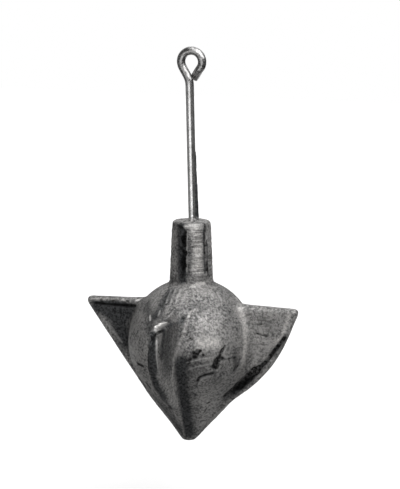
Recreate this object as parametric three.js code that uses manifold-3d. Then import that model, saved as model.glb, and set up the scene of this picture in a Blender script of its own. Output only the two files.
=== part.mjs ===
// A shore-casting fishing weight: a finned lead body cast round a steel wire that ends in a line eye.
// Millimetres, +Z up. The origin is the centre of the eye, where the weight hangs from the line.
// The wire is bent flat in the XZ plane, and the fins stand along X and Y.

import * as THREE from 'three';
import { mergeVertices } from 'three/addons/utils/BufferGeometryUtils.js';
import Module from 'manifold-3d';

// Wire
const WIRE_DIAMETER = 1.8;
const EYE_INSIDE_DIAMETER = 2.9;
const EYE_TO_NECK_TOP = 34.3;
const EYE_SHOULDER_DROP = 5.1; // eye centre down to where the straight stem begins
const EYE_SHOULDER_BEND = 1.8; // length of the pull on each end of the shoulder's curve
const EYE_START_ANGLE = 206; // the wire joins the ring here, degrees from +X
const EYE_END_ANGLE = -32; // and leaves it here, after going over the top
const EYE_MOUTH_GAP = 0.3; // between the tail's cut end and the shoulder
const STEM_TOP_OFFSET = -0.43; // the hand-bent stem leans: its X below the eye
const STEM_NECK_OFFSET = 0.25; // and its X where it enters the neck
const WIRE_SET_DEPTH = 31; // neck top down to the lowest point of the cast-in hook
const HOOK_RADIUS = 2.6;
const HOOK_TIP_LENGTH = 2.5;
const CAST_IN_CLEARANCE = 0.3;

// Ball, nose and neck of the lead
const BALL_DIAMETER = 27.5;
const NOSE_HALF_ANGLE = 34.8;
const NOSE_TIP_DIAMETER = 2.8; // the cone's width where it is cut blunt
const NOSE_ROUNDING = 1.0;
const NOSE_OFFSET = -0.6; // the cast tip stands this far off the axis along X
const NECK_TOP_DIAMETER = 8.4;
const NECK_DRAFT = 2.2; // degrees a side
const NECK_RISE = 26.5; // ball centre up to the neck's flat top
const NECK_RIM_ROUNDING = 0.5;
const NECK_ROOT_FILLET = 1.0;

// Fins of the lead
const FIN_REACH = 24.6; // axis to where a fin's edge would meet its top
const FIN_TIP_TRIM = 0.9; // the tip is rounded back by this much at the top
const FIN_TIP_HEIGHT = 1.8; // over this height
const FIN_TOP_RISE = 8.6; // ball centre up to the top edges of the X fins
const CROSS_FIN_TOP_RISE = 7.4; // and of the Y fins, cut lower in the mould
const FIN_TOP_CLIMB = 0.3; // the top edges of the X fins climb this much to the body
const CROSS_FIN_TOP_CLIMB = 1.9; // and those of the Y fins this much
const FIN_FOOT_STAND = 1.5; // how far the foot, where a fin turns into a low ridge, stands off the nose
const FIN_FOOT_DROP = 12.5; // ball centre down to the foot
const FIN_EDGE_BULGE = 2.7; // how far the outer edge bows out of a straight line
const FIN_BULGE_HEIGHT = 0.4; // share of the fin's height at which it bows most
const CROSS_FIN_BULGE = 6.9; // the Y fins are cast fuller
const STRAIGHT_FIN_BULGE = 0.1; // the -X fin is cast with an almost straight edge
const FIN_EDGE_THICKNESS = 2.2;
const FIN_FOOT_THICKNESS = 2.3;
const RIDGE_END_THICKNESS = 0.8; // width of the ridge where it dies out on the nose
const FIN_EDGE_ROUNDING = 0.6;
const FIN_TOP_ROUNDING = 0.7;
const CROSS_FIN_TOP_ROUNDING = 1.0;
const FIN_DRAFT = 1.5; // degrees a side
const FIN_ROOT_FILLET = 2.0;
const FRONT_FIN_TURN = -2.4; // degrees that the -Y fin stands out of square

// The fins, going round from +X, with their headings in degrees
const sideFin = { topRise: FIN_TOP_RISE, topClimb: FIN_TOP_CLIMB, topRounding: FIN_TOP_ROUNDING };
const crossFin = {
  topRise: CROSS_FIN_TOP_RISE,
  topClimb: CROSS_FIN_TOP_CLIMB,
  topRounding: CROSS_FIN_TOP_ROUNDING,
  bulge: CROSS_FIN_BULGE,
};
const FINS = [
  { ...sideFin, bulge: FIN_EDGE_BULGE, heading: 0 },
  { ...crossFin, heading: 90 },
  { ...sideFin, bulge: STRAIGHT_FIN_BULGE, heading: 180 },
  { ...crossFin, heading: 270 + FRONT_FIN_TURN },
];

// Fineness of the faceted surfaces
const WIRE_SIDES = 12;
const BEND_DIVISIONS = 10;
const BAY_POINTS = 5;
const FILLET_POINTS = 4;
const CORNER_POINTS = 3;
const NOSE_LEVELS = 3;
const RIDGE_LEVELS = 4;
const FIN_LEVELS = 12;
const ROUNDING_LEVELS = 3;
const TIP_LEVELS = 2;
const SHOULDER_LEVELS = 5;
const SHOULDER_SAMPLES = 60;
const MOUTH_PRECISION = 0.001;

const wireRadius = WIRE_DIAMETER / 2;
const ballRadius = BALL_DIAMETER / 2;
const ballCentreZ = -(EYE_TO_NECK_TOP + NECK_RISE);
const noseAngle = THREE.MathUtils.degToRad(NOSE_HALF_ANGLE);
const neckDraft = THREE.MathUtils.degToRad(NECK_DRAFT);
const finDraft = THREE.MathUtils.degToRad(FIN_DRAFT);
const { lerp } = THREE.MathUtils;

// Values from first to last in equal steps, with both ends.
function steps(first, last, count) {
  return Array.from({ length: count + 1 }, (_, i) => lerp(first, last, i / count));
}

// A closed surface over a stack of rings of equally many points, with flat fans over both ends.
function skin(rings) {
  const count = rings[0].length;
  const points = rings.flat();
  const faces = [];
  for (let level = 0; level + 1 < rings.length; level += 1) {
    for (let i = 0; i < count; i += 1) {
      const a = level * count + i;
      const b = level * count + ((i + 1) % count);
      faces.push(a, b, b + count, a, b + count, a + count);
    }
  }
  const fan = (ring, start, flip) => {
    const middle = points.length;
    const sum = ring.reduce((total, p) => total.add(p), new THREE.Vector3());
    points.push(sum.divideScalar(count));
    for (let i = 0; i < count; i += 1) {
      const here = start + i;
      const next = start + ((i + 1) % count);
      faces.push(middle, flip ? next : here, flip ? here : next);
    }
  };
  fan(rings[0], 0, true);
  fan(rings.at(-1), (rings.length - 1) * count, false);
  const geometry = new THREE.BufferGeometry().setFromPoints(points);
  geometry.setIndex(faces);
  return mergeVertices(geometry);
}

// A round bar along a path that lies in the XZ plane.
function roundBar(path, radius) {
  const centres = path.getPoints(BEND_DIVISIONS).map((p) => new THREE.Vector3(p.x, 0, p.y));
  const across = new THREE.Vector3(0, 1, 0);
  const rings = centres.map((centre, i) => {
    const before = centres[Math.max(i - 1, 0)];
    const after = centres[Math.min(i + 1, centres.length - 1)];
    const along = after.clone().sub(before).normalize();
    const side = across.clone().cross(along);
    return steps(0, 2 * Math.PI, WIRE_SIDES).slice(0, -1).map((angle) => centre.clone()
      .addScaledVector(side, radius * Math.cos(angle))
      .addScaledVector(across, radius * Math.sin(angle)));
  });
  return skin(rings);
}

// Wire centreline, from the hook's tip in the lead to the cut end beside the eye
const eyeRadius = EYE_INSIDE_DIAMETER / 2 + wireRadius;
const shoulder = new THREE.Vector2(STEM_TOP_OFFSET, -EYE_SHOULDER_DROP);
const neckEntry = new THREE.Vector2(STEM_NECK_OFFSET, -EYE_TO_NECK_TOP);
const hookTopZ = HOOK_RADIUS - EYE_TO_NECK_TOP - WIRE_SET_DEPTH;

// A point of the leaning stem's centreline at a height.
function stemAt(z) {
  const share = (z - neckEntry.y) / (shoulder.y - neckEntry.y);
  return neckEntry.clone().lerp(shoulder, share);
}

// The hook and the stem's foot, up to a height on the stem, with the hook's tip left longer by a clearance.
function castInPath(topZ, tipClearance) {
  const foot = stemAt(hookTopZ);
  const tipX = foot.x + 2 * HOOK_RADIUS;
  const top = stemAt(topZ);
  const path = new THREE.Path();
  path.moveTo(tipX, hookTopZ + HOOK_TIP_LENGTH + tipClearance);
  path.lineTo(tipX, hookTopZ);
  path.absarc(foot.x + HOOK_RADIUS, hookTopZ, HOOK_RADIUS, 0, -Math.PI, true);
  path.lineTo(top.x, top.y);
  return path;
}

// Unit vector of travel when the ring is followed over the top from -X to +X.
function ringHeading(angle) {
  return new THREE.Vector2(Math.sin(angle), -Math.cos(angle));
}

// Length of the tail that leaves the mouth gap between its cut end and the shoulder's surface.
function tailLength(ringEnd, heading, shoulderPoints) {
  const clear = WIRE_DIAMETER + EYE_MOUTH_GAP;
  const isClear = (length) => {
    const cutEnd = ringEnd.clone().addScaledVector(heading, length);
    return shoulderPoints.every((p) => p.distanceTo(cutEnd) > clear);
  };
  let length = 0;
  let step = eyeRadius;
  while (step > MOUTH_PRECISION) {
    if (isClear(length + step)) {
      length += step;
    } else {
      step /= 2;
    }
  }
  return length;
}

function wirePath() {
  const start = THREE.MathUtils.degToRad(EYE_START_ANGLE);
  const end = THREE.MathUtils.degToRad(EYE_END_ANGLE);
  const ringStart = new THREE.Vector2(Math.cos(start), Math.sin(start)).multiplyScalar(eyeRadius);
  const ringEnd = new THREE.Vector2(Math.cos(end), Math.sin(end)).multiplyScalar(eyeRadius);
  const stemHeading = shoulder.clone().sub(neckEntry).normalize();
  const leave = shoulder.clone().addScaledVector(stemHeading, EYE_SHOULDER_BEND);
  const arrive = ringStart.clone().addScaledVector(ringHeading(start), -EYE_SHOULDER_BEND);
  const path = castInPath(shoulder.y, 0);
  path.bezierCurveTo(leave.x, leave.y, arrive.x, arrive.y, ringStart.x, ringStart.y);
  const shoulderPoints = path.curves.at(-1).getPoints(SHOULDER_SAMPLES);
  const heading = ringHeading(end);
  const tail = ringEnd.clone().addScaledVector(heading, tailLength(ringEnd, heading, shoulderPoints));
  path.absarc(0, 0, eyeRadius, start, end, true);
  path.lineTo(tail.x, tail.y);
  return path;
}

// Lead body, worked out with the ball's centre at zero height
const noseTangentZ = -ballRadius * Math.sin(noseAngle);
const noseApexZ = -ballRadius / Math.sin(noseAngle);
const noseTipZ = noseApexZ + NOSE_TIP_DIAMETER / 2 / Math.tan(noseAngle);
const noseArc = {
  z: noseTipZ + NOSE_ROUNDING,
  r: NOSE_TIP_DIAMETER / 2 + NOSE_ROUNDING * (Math.tan(noseAngle) - 1 / Math.cos(noseAngle)),
};
const finsEndZ = Math.max(...FINS.map((fin) => fin.topRise + fin.topClimb));
const ridgeEndZ = noseArc.z - NOSE_ROUNDING * Math.sin(noseAngle);

// Radius of the plain cone and ball below the neck.
function bodyRadius(z) {
  if (z < noseTangentZ) {
    return (z - noseApexZ) * Math.tan(noseAngle);
  }
  return Math.sqrt(ballRadius ** 2 - z ** 2);
}

const finFootReach = bodyRadius(-FIN_FOOT_DROP) + FIN_FOOT_STAND;

// Angle of half the bay that lies between a fin and the next one round.
function halfBayAfter(index) {
  const next = FINS[(index + 1) % FINS.length].heading;
  return THREE.MathUtils.degToRad(((next - FINS[index].heading + 360) % 360) / 2);
}

const fins = FINS.map((fin, index) => ({
  ...fin,
  halfBayBefore: halfBayAfter((index + FINS.length - 1) % FINS.length),
  halfBayAfter: halfBayAfter(index),
}));

// Reach, half thickness and edge rounding of a fin's section.
function sectionSizes(reach, half) {
  return { reach, half, rounding: Math.min(FIN_EDGE_ROUNDING, half) };
}

// Outward bow of a fin's edge, from 0 at the foot through 1 where it bows most to 0 at the tip.
function bow(share) {
  const power = (1 - FIN_BULGE_HEIGHT) / FIN_BULGE_HEIGHT;
  const most = FIN_BULGE_HEIGHT * (1 - FIN_BULGE_HEIGHT) ** power;
  return (share * Math.max(1 - share, 0) ** power) / most;
}

// A fin at a height, with its top edge and its tip rounded. Below the foot it is a ridge that dies out.
function finAt(z, { topRise, topRounding, bulge }) {
  const halfFoot = FIN_FOOT_THICKNESS / 2;
  if (z < -FIN_FOOT_DROP) {
    const share = (z - ridgeEndZ) / (-FIN_FOOT_DROP - ridgeEndZ);
    return sectionSizes(
      lerp(bodyRadius(ridgeEndZ), finFootReach, share),
      lerp(RIDGE_END_THICKNESS / 2, halfFoot, share),
    );
  }
  const share = (z + FIN_FOOT_DROP) / (topRise + FIN_FOOT_DROP);
  const intoRounding = Math.max(z - topRise + topRounding, 0);
  const left = Math.max(topRounding ** 2 - intoRounding ** 2, 0);
  const trim = topRounding - Math.sqrt(left);
  const intoTip = Math.max(1 + (z - topRise) / FIN_TIP_HEIGHT, 0);
  return sectionSizes(
    lerp(finFootReach, FIN_REACH, share) + bulge * bow(share) - trim - FIN_TIP_TRIM * intoTip ** 2,
    lerp(halfFoot, FIN_EDGE_THICKNESS / 2, share) - trim,
  );
}

// Points of an arc about a centre, without its last point.
function arc(centre, radius, from, to, count) {
  return steps(from, to, count).slice(0, -1).map((angle) => new THREE.Vector2(
    centre.x + radius * Math.cos(angle),
    centre.y + radius * Math.sin(angle),
  ));
}

// Half of one fin's level section: from the middle of the bay beside it, along the body, round the root
// fillet and along the drafted side to the edge's corner. X runs out along the fin and Y across it.
function halfSection(radius, fin, bayAngle) {
  const corner = new THREE.Vector2(fin.reach - fin.rounding, fin.half - fin.rounding);
  const cornerToFillet = fin.rounding + FIN_ROOT_FILLET;
  const bodyToFillet = radius + FIN_ROOT_FILLET;
  const slope = Math.tan(finDraft);
  const rise = corner.y + cornerToFillet / Math.cos(finDraft) + corner.x * slope;
  const root = bodyToFillet ** 2 * (1 + slope ** 2) - rise ** 2;
  const fillet = new THREE.Vector2((rise * slope + Math.sqrt(root)) / (1 + slope ** 2), 0);
  fillet.y = rise - slope * fillet.x;
  let sideAngle = Math.PI / 2 - finDraft;
  if (fillet.x > corner.x + cornerToFillet * Math.sin(finDraft)) {
    // too low for a straight side, so the fillet meets the rounded corner itself
    const reach = corner.length();
    const along = (bodyToFillet ** 2 - cornerToFillet ** 2 + reach ** 2) / (2 * reach);
    const turn = corner.angle() + Math.acos(Math.min(along / bodyToFillet, 1));
    fillet.set(bodyToFillet * Math.cos(turn), bodyToFillet * Math.sin(turn));
    sideAngle = fillet.clone().sub(corner).angle();
  }
  const origin = new THREE.Vector2();
  return [
    ...arc(origin, radius, bayAngle, fillet.angle(), BAY_POINTS),
    ...arc(fillet, FIN_ROOT_FILLET, fillet.angle() - Math.PI, sideAngle - Math.PI, FILLET_POINTS),
    fillet.clone().lerp(corner, FIN_ROOT_FILLET / cornerToFillet),
    ...arc(corner, fin.rounding, sideAngle, 0, CORNER_POINTS),
    new THREE.Vector2(fin.reach, corner.y),
  ];
}

// One fin's section with half a bay on each side of it.
function finSection(z, fin) {
  const sizes = finAt(z, fin);
  const before = halfSection(bodyRadius(z), sizes, fin.halfBayBefore);
  const after = halfSection(bodyRadius(z), sizes, fin.halfBayAfter);
  const mirrored = before.map((p) => new THREE.Vector2(p.x, -p.y));
  return [...mirrored, new THREE.Vector2(sizes.reach, 0), ...after.slice(1).reverse()];
}

// The section above a fin's outer top corner: what stands off the body slides in along the climbing top
// edge, and from the climb's end on all of it lies on the plain body.
function climbingSection(z, fin) {
  const radius = bodyRadius(z);
  const radiusBelow = bodyRadius(fin.topRise);
  const left = Math.max(1 - (z - fin.topRise) / fin.topClimb, 0);
  return finSection(fin.topRise, fin).map((p) => {
    const across = (p.y * radius) / radiusBelow;
    const standOff = p.x - Math.sqrt(radiusBelow ** 2 - p.y ** 2);
    return new THREE.Vector2(Math.sqrt(radius ** 2 - across ** 2) + standOff * left, across);
  });
}

// How far a level section stands off the axis: the nose leans, and the ball and neck don't.
function leanAt(z) {
  return NOSE_OFFSET * Math.max((noseTangentZ - z) / (noseTangentZ - noseTipZ), 0);
}

// All the way round at one height.
function finnedRing(z) {
  return fins.flatMap((fin) => {
    const section = z > fin.topRise ? climbingSection(z, fin) : finSection(z, fin);
    const turn = THREE.MathUtils.degToRad(fin.heading);
    return section.map((p) => {
      const turned = p.rotateAround(new THREE.Vector2(), turn);
      return new THREE.Vector3(turned.x + leanAt(z), turned.y, z);
    });
  });
}

// A plain ring whose points stand at the given angles.
function roundRing(radius, z, angles) {
  return angles.map((angle) => new THREE.Vector3(
    radius * Math.cos(angle) + leanAt(z),
    radius * Math.sin(angle),
    z,
  ));
}

// Angles of a ring's points about its own middle.
function anglesOf(ring) {
  return ring.map((p) => Math.atan2(p.y, p.x - leanAt(p.z)));
}

// Profile of the shoulder above the fins, the neck's root fillet, the neck and its rounded rim.
function upperProfile() {
  const slope = Math.tan(neckDraft);
  const reach = NECK_TOP_DIAMETER / 2 + NECK_RISE * slope + NECK_ROOT_FILLET / Math.cos(neckDraft);
  const span = ballRadius + NECK_ROOT_FILLET;
  const root = span ** 2 * (1 + slope ** 2) - reach ** 2;
  const filletZ = (reach * slope + Math.sqrt(root)) / (1 + slope ** 2);
  const fillet = new THREE.Vector2(reach - slope * filletZ, filletZ);
  const rim = new THREE.Vector2(
    NECK_TOP_DIAMETER / 2 + NECK_RIM_ROUNDING * (slope - 1 / Math.cos(neckDraft)),
    NECK_RISE - NECK_RIM_ROUNDING,
  );
  const origin = new THREE.Vector2();
  const finTop = Math.asin(finsEndZ / ballRadius);
  return [
    ...arc(origin, ballRadius, finTop, fillet.angle(), SHOULDER_LEVELS),
    ...arc(fillet, NECK_ROOT_FILLET, fillet.angle() - Math.PI, neckDraft - Math.PI, ROUNDING_LEVELS),
    fillet.clone().sub(new THREE.Vector2(NECK_ROOT_FILLET, 0).rotateAround(origin, neckDraft)),
    ...arc(rim, NECK_RIM_ROUNDING, neckDraft, Math.PI / 2, ROUNDING_LEVELS),
    new THREE.Vector2(rim.x, NECK_RISE),
  ];
}

// Heights of the level sections from the nose's rounding to the end of the highest climb, left out itself.
function finnedHeights() {
  const lowestTop = Math.min(...FINS.map((fin) => fin.topRise - fin.topRounding));
  const heights = new Set([
    ...steps(ridgeEndZ, -FIN_FOOT_DROP, RIDGE_LEVELS).slice(1),
    ...steps(-FIN_FOOT_DROP, lowestTop, FIN_LEVELS),
  ]);
  for (const { topRise, topClimb, topRounding } of FINS) {
    for (const z of steps(topRise - FIN_TIP_HEIGHT, topRise - topRounding, TIP_LEVELS)) {
      heights.add(z);
    }
    for (const angle of steps(0, Math.PI / 2, ROUNDING_LEVELS)) {
      heights.add(topRise - topRounding * (1 - Math.sin(angle)));
    }
    heights.add(topRise + topClimb);
  }
  return [...heights].filter((z) => z < finsEndZ).sort((a, b) => a - b);
}

function leadSurface() {
  const finRings = finnedHeights().map(finnedRing);
  const noseAngles = anglesOf(finRings[0]);
  const upperAngles = anglesOf(finnedRing(finsEndZ));
  const noseRings = steps(-Math.PI / 2, -noseAngle, NOSE_LEVELS).map((angle) => roundRing(
    noseArc.r + NOSE_ROUNDING * Math.cos(angle),
    noseArc.z + NOSE_ROUNDING * Math.sin(angle),
    noseAngles,
  ));
  const upperRings = upperProfile().map((p) => roundRing(p.x, p.y, upperAngles));
  return skin([...noseRings, ...finRings, ...upperRings]).translate(0, 0, ballCentreZ);
}

const wasm = await Module();
wasm.setup();

function solid(geometry) {
  return new wasm.Manifold(new wasm.Mesh({
    numProp: 3,
    vertProperties: geometry.getAttribute('position').array,
    triVerts: new Uint32Array(geometry.index.array),
  }));
}

function geometryOf(manifold) {
  const mesh = manifold.getMesh();
  const geometry = new THREE.BufferGeometry();
  geometry.setAttribute('position', new THREE.BufferAttribute(mesh.vertProperties, 3));
  geometry.setIndex(new THREE.BufferAttribute(mesh.triVerts, 1));
  return geometry;
}

// The lead with the channel that the cast-in wire fills, open at the neck's top.
function leadGeometry() {
  const channelTopZ = -EYE_TO_NECK_TOP + WIRE_DIAMETER;
  const channel = roundBar(castInPath(channelTopZ, CAST_IN_CLEARANCE), wireRadius + CAST_IN_CLEARANCE);
  return geometryOf(solid(leadSurface()).subtract(solid(channel)));
}

function namedMesh(name, geometry, material) {
  geometry.computeVertexNormals();
  const mesh = new THREE.Mesh(geometry, new THREE.MeshStandardMaterial(material));
  mesh.name = name;
  return mesh;
}

const castLead = { color: 0x5f6062, roughness: 0.55, metalness: 0.8 };
const drawnSteel = { color: 0x9a9b9d, roughness: 0.3, metalness: 1 };

const weight = new THREE.Group();
weight.add(
  namedMesh('lead_body', leadGeometry(), castLead),
  namedMesh('eye_wire', roundBar(wirePath(), wireRadius), drawnSteel),
);

export default weight;
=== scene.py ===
"""Looks of a shore-casting fishing weight: a finned lead casting on a steel wire with a line eye.

Metres, in the part's own frame: the origin is the centre of the eye, +Z is up the wire, the wire is bent
in the XZ plane and the fins stand along X and Y.
"""

import math
from itertools import chain

import bmesh
import bpy
import numpy as np
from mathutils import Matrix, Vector
from mathutils.bvhtree import BVHTree


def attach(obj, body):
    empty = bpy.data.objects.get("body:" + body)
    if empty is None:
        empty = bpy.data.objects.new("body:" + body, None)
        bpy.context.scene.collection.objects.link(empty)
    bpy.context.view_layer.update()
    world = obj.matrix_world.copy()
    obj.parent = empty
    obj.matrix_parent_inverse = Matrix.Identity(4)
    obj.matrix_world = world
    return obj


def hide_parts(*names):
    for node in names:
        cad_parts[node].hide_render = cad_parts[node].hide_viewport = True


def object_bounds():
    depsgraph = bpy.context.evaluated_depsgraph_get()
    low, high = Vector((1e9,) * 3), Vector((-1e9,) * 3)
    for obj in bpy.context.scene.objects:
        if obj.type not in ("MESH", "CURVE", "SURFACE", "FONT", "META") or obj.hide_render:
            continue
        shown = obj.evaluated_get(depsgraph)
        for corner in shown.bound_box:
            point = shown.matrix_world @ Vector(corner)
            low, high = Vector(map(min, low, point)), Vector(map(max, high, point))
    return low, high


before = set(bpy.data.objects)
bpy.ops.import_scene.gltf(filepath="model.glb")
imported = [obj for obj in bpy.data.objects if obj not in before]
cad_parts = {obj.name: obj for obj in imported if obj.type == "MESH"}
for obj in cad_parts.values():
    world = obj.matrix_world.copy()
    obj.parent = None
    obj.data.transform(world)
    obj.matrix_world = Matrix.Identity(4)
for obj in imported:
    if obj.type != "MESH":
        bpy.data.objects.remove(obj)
cad_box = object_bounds()

MM = 0.001

# The photograph's frame and the camera that took it
PHOTO_WIDTH = 400
PHOTO_HEIGHT = 489
CAMERA_AZIMUTH = math.radians(17.6)
CAMERA_ELEVATION = math.radians(10.4)
CAMERA_DISTANCE = 520 * MM
AIM = Vector((0, 0, -36 * MM))
AIM_PIXEL = (191.6, 228.4)
PIXELS_PER_METRE = 4650
SENSOR = 36  # millimetres, as Blender has it

# Sizes of the wire, as in the part
WIRE_RADIUS = 0.9 * MM
EYE_RADIUS = 2.35 * MM
EYE_SHOULDER_DROP = 5.1 * MM
EYE_SHOULDER_BEND = 1.8 * MM
EYE_START = math.radians(206)
EYE_END = math.radians(-38)
STEM_TOP_X = -0.43 * MM
STEM_NECK_X = 0.25 * MM
NECK_TOP_Z = -34.3 * MM
WIRE_SET_DEPTH = 31 * MM
HOOK_RADIUS = 2.6 * MM
HOOK_TIP_LENGTH = 2.5 * MM

# Sizes of the lead, as in the part
BALL_CENTRE_Z = -60.8 * MM
BALL_RADIUS = 13.75 * MM


def towards(azimuth, elevation):
    """Unit vector from the object: azimuth from -Y round to +X, elevation above the floor."""
    return Vector((
        math.sin(azimuth) * math.cos(elevation),
        -math.cos(azimuth) * math.cos(elevation),
        math.sin(elevation),
    ))


VIEW_BACK = towards(CAMERA_AZIMUTH, CAMERA_ELEVATION)
VIEW_RIGHT = Vector((math.cos(CAMERA_AZIMUTH), math.sin(CAMERA_AZIMUTH), 0))
VIEW_UP = VIEW_BACK.cross(VIEW_RIGHT)
CAMERA_PLACE = AIM + VIEW_BACK * CAMERA_DISTANCE
FOCAL_PIXELS = PIXELS_PER_METRE * CAMERA_DISTANCE


def add_object(name, data):
    piece = bpy.data.objects.new(name, data)
    bpy.context.scene.collection.objects.link(piece)
    return piece


def make_camera():
    camera = add_object("camera", bpy.data.cameras.new("camera"))
    camera.data.sensor_width = SENSOR
    camera.data.lens = SENSOR * FOCAL_PIXELS / PHOTO_HEIGHT
    camera.data.shift_x = (PHOTO_WIDTH / 2 - AIM_PIXEL[0]) / PHOTO_HEIGHT
    camera.data.shift_y = (AIM_PIXEL[1] - PHOTO_HEIGHT / 2) / PHOTO_HEIGHT
    camera.data.clip_start = 10 * MM
    camera.location = CAMERA_PLACE
    camera.rotation_euler = VIEW_BACK.to_track_quat("Z", "Y").to_euler()
    bpy.context.scene.camera = camera


def sight_line(pixel):
    """Direction from the camera through a pixel of the photograph."""
    across = (pixel[0] - AIM_PIXEL[0]) / FOCAL_PIXELS
    down = (pixel[1] - AIM_PIXEL[1]) / FOCAL_PIXELS
    return (VIEW_RIGHT * across - VIEW_UP * down - VIEW_BACK).normalized()


# Studio
FLOOR_DROP = 18 * MM  # the weight hangs this far above the floor
FLOOR_SIZE = 1.4
FLOOR_TONE = 0.6
FLOOR_BOUNCE = 0.25
FLOOR_GLOW = (0.62, 1.0)  # under the object and far from it
FLOOR_GLOW_REACH = (60 * MM, 320 * MM)
FILL_STRENGTH = 0.1
LAMP_DISTANCE = 480 * MM
KEY_SIDE = 0.55
TOP_SIDE = 0.40
CARD_COLUMNS = 24
WALL_DISTANCE = 520 * MM
WALL_HEIGHTS = (5 * MM, 950 * MM)
FLAG_DISTANCE = 100 * MM
WIRE_FLAG_DISTANCE = 95 * MM
WIRE_FLAG_TOP = 130 * MM
CARD_LIFT = 1 * MM  # the lowest cards stand this far above the floor


def plain_mesh(name, points, faces, edges=()):
    mesh = bpy.data.meshes.new(name)
    mesh.from_pydata(points, edges, faces)
    mesh.update()
    return mesh


def background_rays(nodes, links):
    """1 where a ray shows the background itself: seen by the camera, in a gloss or through glass."""
    path = nodes.new("ShaderNodeLightPath")
    shown = path.outputs["Is Camera Ray"]
    for also in ("Is Glossy Ray", "Is Transmission Ray"):
        either = nodes.new("ShaderNodeMath")
        either.operation = "MAXIMUM"
        links.new(shown, either.inputs[0])
        links.new(path.outputs[also], either.inputs[1])
        shown = either.outputs[0]
    return shown


def map_range(nodes, links, source, limits, values):
    ranged = nodes.new("ShaderNodeMapRange")
    for key, number in zip(("From Min", "From Max", "To Min", "To Max"), (*limits, *values)):
        ranged.inputs[key].default_value = number
    links.new(source, ranged.inputs["Value"])
    return ranged.outputs["Result"]


def by_ray(nodes, links, shown, hidden):
    """One value where a ray shows the background, and another where it only gathers light."""
    return map_range(nodes, links, background_rays(nodes, links), (0, 1), (hidden, shown))


def light_world():
    """A white surround that lights the object only as a soft fill."""
    world = bpy.data.worlds.new("white_surround")
    bpy.context.scene.world = world
    world.use_nodes = True
    nodes, links = world.node_tree.nodes, world.node_tree.links
    background = nodes["Background"]
    background.inputs["Color"].default_value = (1, 1, 1, 1)
    links.new(by_ray(nodes, links, 1.0, FILL_STRENGTH), background.inputs["Strength"])


def floor_material():
    """Matt white paper that shows white, keeps the object's shadow and bounces little light."""
    material = bpy.data.materials.new("white_paper")
    material.use_nodes = True
    nodes, links = material.node_tree.nodes, material.node_tree.links
    paper = nodes["Principled BSDF"]
    paper.inputs["Roughness"].default_value = 0.9
    paper.inputs["Specular IOR Level"].default_value = 0.1
    links.new(by_ray(nodes, links, FLOOR_TONE, FLOOR_BOUNCE), paper.inputs["Base Color"])
    paper.inputs["Emission Color"].default_value = (1, 1, 1, 1)
    place = nodes.new("ShaderNodeTexCoord").outputs["Object"]
    away = nodes.new("ShaderNodeVectorMath")
    away.operation = "LENGTH"
    links.new(place, away.inputs[0])
    glow = nodes.new("ShaderNodeMath")
    glow.operation = "MULTIPLY"
    links.new(map_range(nodes, links, away.outputs["Value"], FLOOR_GLOW_REACH, FLOOR_GLOW), glow.inputs[0])
    links.new(background_rays(nodes, links), glow.inputs[1])
    links.new(glow.outputs[0], paper.inputs["Emission Strength"])
    return material


def lay_floor():
    z = cad_box[0][2] - FLOOR_DROP
    half = FLOOR_SIZE / 2
    corners = [(-half, -half, z), (half, -half, z), (half, half, z), (-half, half, z)]
    floor = add_object("floor", plain_mesh("floor", corners, [(0, 1, 2, 3)]))
    floor.data.materials.append(floor_material())


def upright(distance, heights):
    """Rims of a card that stands at one distance."""
    return [(distance, height) for height in heights]


def flag(name, tone, turns, rims):
    """A curved card of one tone that only reflections see, between two rims given by distance and height.

    Turns are degrees to the right of the camera, and heights are above the floor.
    """
    points = []
    for turn in np.linspace(*turns, CARD_COLUMNS + 1):
        way = towards(CAMERA_AZIMUTH + math.radians(turn), 0)
        for distance, height in rims:
            points.append(Vector((0, 0, cad_box[0][2] - FLOOR_DROP + height)) + way * distance)
    faces = [(2 * c, 2 * c + 1, 2 * c + 3, 2 * c + 2) for c in range(CARD_COLUMNS)]
    card = add_object(name, plain_mesh(name, points, faces))
    material = bpy.data.materials.new(name)
    material.use_nodes = True
    face = material.node_tree.nodes["Principled BSDF"]
    face.inputs["Base Color"].default_value = (0, 0, 0, 1)
    face.inputs["Specular IOR Level"].default_value = 0
    face.inputs["Emission Color"].default_value = (1, 1, 1, 1)
    face.inputs["Emission Strength"].default_value = tone
    card.data.materials.append(material)
    card.visible_camera = False
    card.visible_diffuse = False
    card.visible_transmission = False
    card.visible_shadow = False


def soft_lamp(name, turn, tilt, side, power):
    """A square lamp, turned to the right of the camera and tilted up, in degrees."""
    way = towards(CAMERA_AZIMUTH + math.radians(turn), math.radians(tilt))
    lamp = add_object(name, bpy.data.lights.new(name, "AREA"))
    lamp.data.shape = "RECTANGLE"
    lamp.data.size = side
    lamp.data.size_y = side
    lamp.data.energy = power
    lamp.location = AIM + way * LAMP_DISTANCE
    lamp.visible_camera = False
    lamp.rotation_euler = way.to_track_quat("Z", "Y").to_euler()


def light_studio():
    light_world()
    soft_lamp("key_lamp", turn=34, tilt=40, side=KEY_SIDE, power=2.8)
    soft_lamp("top_lamp", turn=15, tilt=80, side=TOP_SIDE, power=0.7)
    flag("left_wall", 0.15, (-135, -40), upright(WALL_DISTANCE, WALL_HEIGHTS))
    flag("front_wall", 1.0, (-40, 6), upright(WALL_DISTANCE, WALL_HEIGHTS))
    flag("left_flag", 0.35, (-135, -2), upright(FLAG_DISTANCE, (CARD_LIFT, 49 * MM)))
    flag("right_flag", 0.05, (6, 120), upright(FLAG_DISTANCE, (CARD_LIFT, 110 * MM)))
    flag("left_wire_flag", 0.2, (-168, -52), upright(WIRE_FLAG_DISTANCE, (40 * MM, WIRE_FLAG_TOP)))
    flag("right_wire_flag", 0.09, (8, 168), upright(WIRE_FLAG_DISTANCE, (46 * MM, WIRE_FLAG_TOP)))
    flag("mat", 0.35, (-180, 180), ((1 * MM, CARD_LIFT), (FLAG_DISTANCE, CARD_LIFT)))


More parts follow.
